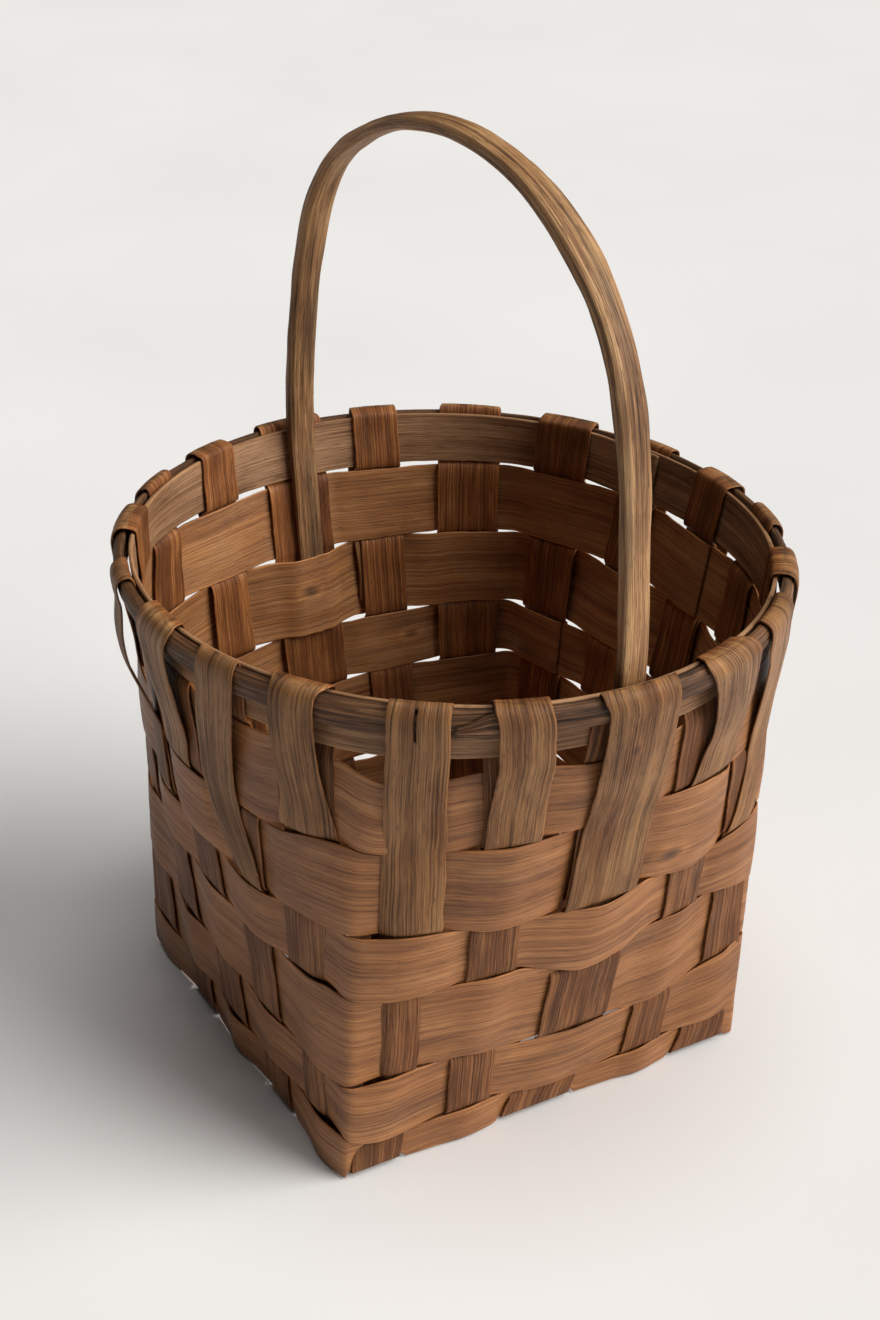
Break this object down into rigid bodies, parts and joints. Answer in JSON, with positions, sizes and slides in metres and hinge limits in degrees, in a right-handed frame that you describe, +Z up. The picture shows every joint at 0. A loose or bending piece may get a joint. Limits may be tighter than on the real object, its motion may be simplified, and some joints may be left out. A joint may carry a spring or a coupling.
{
  "type": "woven fruit basket",
  "caption": "Vintage wood-splint fruit basket, square woven base rising to a round rim bound by two hoops, with a fixed bentwood bow handle.",
  "frame": {"origin": "centre of the square woven base, on its underside", "axes": "+Z up through the basket; the bow handle stands in the XZ plane, its upright leg at +X"},
  "size_m": [0.3188, 0.2968, 0.4366],
  "materials": {
    "stake_splint": "dry aged split wood, grey-brown outside and redder inside",
    "weaver_splint": "aged split wood with a dull satin surface",
    "hoop_wood": "fibrous, weathered, dark in the crevices",
    "bow_wood": "whittled and hand-worn, satin on the high faces"
  },
  "bodies": {
    "root": {"splint_a1": "stake_splint", "splint_a2": "stake_splint", "splint_a3": "stake_splint", "splint_a4": "stake_splint", "splint_a5": "stake_splint", "splint_b1": "stake_splint", "splint_b2": "stake_splint", "splint_b3": "stake_splint", "splint_b4": "stake_splint", "splint_b5": "stake_splint", "weaver_row1": "weaver_splint", "weaver_row2": "weaver_splint", "weaver_row3": "weaver_splint", "weaver_row4": "weaver_splint", "weaver_row5": "weaver_splint", "weaver_row6": "weaver_splint", "rim_hoop_inner": "hoop_wood", "rim_hoop_outer": "hoop_wood", "bow_handle": "bow_wood"}
  },
  "joints": []
}
